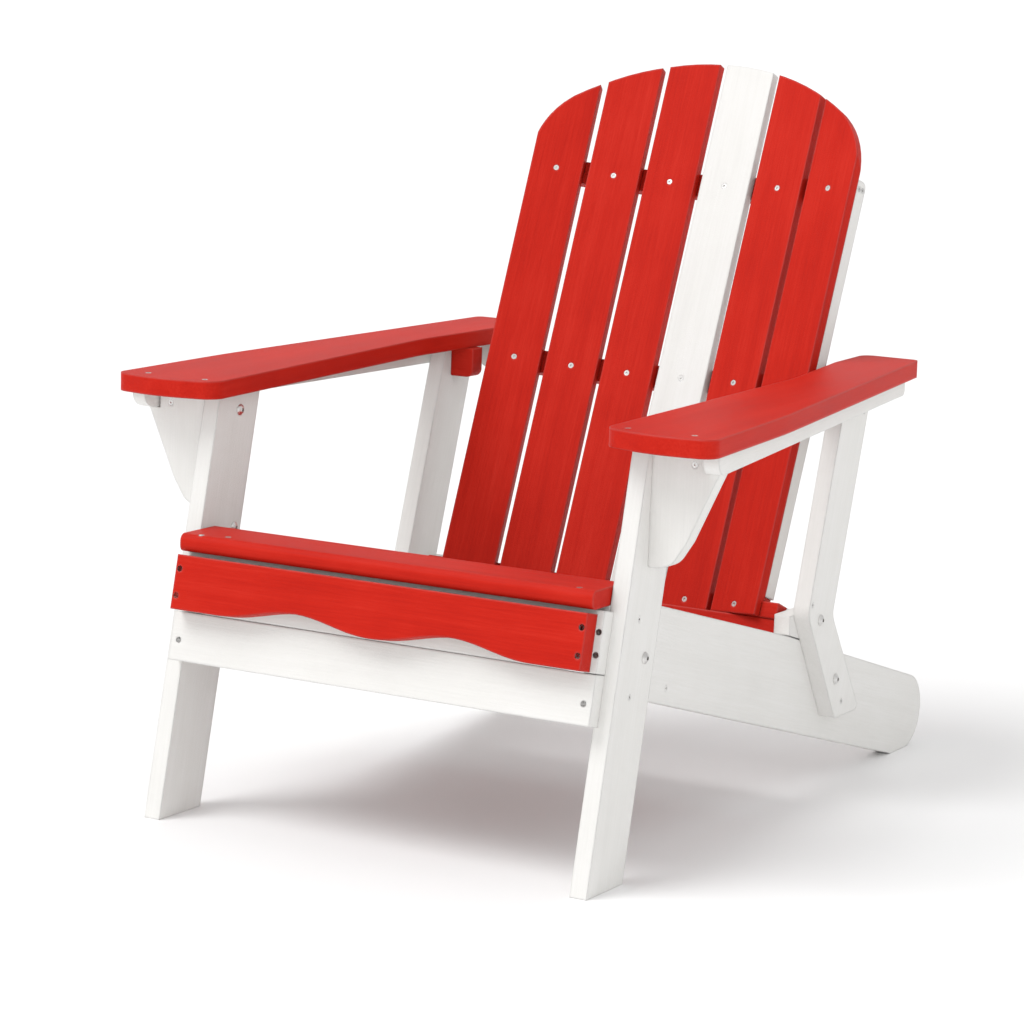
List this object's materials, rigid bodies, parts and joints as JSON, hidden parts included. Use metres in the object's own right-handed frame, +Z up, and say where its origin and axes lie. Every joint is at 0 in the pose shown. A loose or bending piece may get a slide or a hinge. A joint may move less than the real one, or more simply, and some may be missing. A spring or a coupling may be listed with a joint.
{
  "type": "adirondack chair",
  "caption": "Low reclined garden chair of solid plastic boards with wide flat arms, a hollowed slatted back that folds forward, and a sloping slatted seat.",
  "frame": {"origin": "on the floor, under the middle of the chair's outer box", "axes": "+X to the right as seen from the front, +Y to the rear, +Z up"},
  "size_m": [0.7458, 0.9029, 0.8309],
  "materials": {
    "red_board": "solid red plastic board with a fine brushed grain, satin",
    "white_board": "solid white plastic board with a fine brushed grain, satin",
    "steel": "stainless steel screw and bolt heads"
  },
  "bodies": {
    "frame": {"left_side_rail": "white_board", "right_side_rail": "white_board", "left_front_leg": "white_board", "right_front_leg": "white_board", "left_rear_leg": "white_board", "right_rear_leg": "white_board", "left_arm_bracket": "white_board", "right_arm_bracket": "white_board", "left_arm_rail": "white_board", "right_arm_rail": "white_board", "left_arm_rest": "red_board", "right_arm_rest": "red_board", "left_arm_block": "red_board", "right_arm_block": "red_board", "left_back_stop": "white_board", "right_back_stop": "white_board", "left_pivot_block": "white_board", "right_pivot_block": "white_board", "front_lower_board": "white_board", "front_upper_board": "white_board", "front_apron": "red_board", "seat_slat_1": "red_board", "seat_slat_2": "red_board", "seat_slat_3": "red_board", "seat_slat_4": "red_board", "seat_slat_5": "red_board", "seat_slat_6": "red_board", "left_seat_cleat": "white_board", "right_seat_cleat": "white_board", "left_pivot_bolt": "steel", "right_pivot_bolt": "steel", "pivot_spacers": "steel", "frame_bolts": "steel", "frame_screws": "steel", "front_board_screws": "steel", "arm_screws": "steel", "seat_screws": "steel"},
    "back": {"back_slat_1": "red_board", "back_slat_2": "red_board", "back_slat_3": "red_board", "back_slat_4": "white_board", "back_slat_5": "red_board", "back_slat_6": "red_board", "upper_back_rail": "red_board", "middle_back_rail": "red_board", "lower_back_rail": "red_board", "left_back_stile": "white_board", "right_back_stile": "white_board", "back_toe_board": "red_board", "back_slat_screws": "steel", "stile_screws": "steel"}
  },
  "joints": [
    {"name": "back_fold", "type": "hinge", "parent": "frame", "child": "back", "pos_m": [0, 0.0955, 0.212], "axis": [1, 0, 0], "range_deg": [0, 92]}
  ]
}
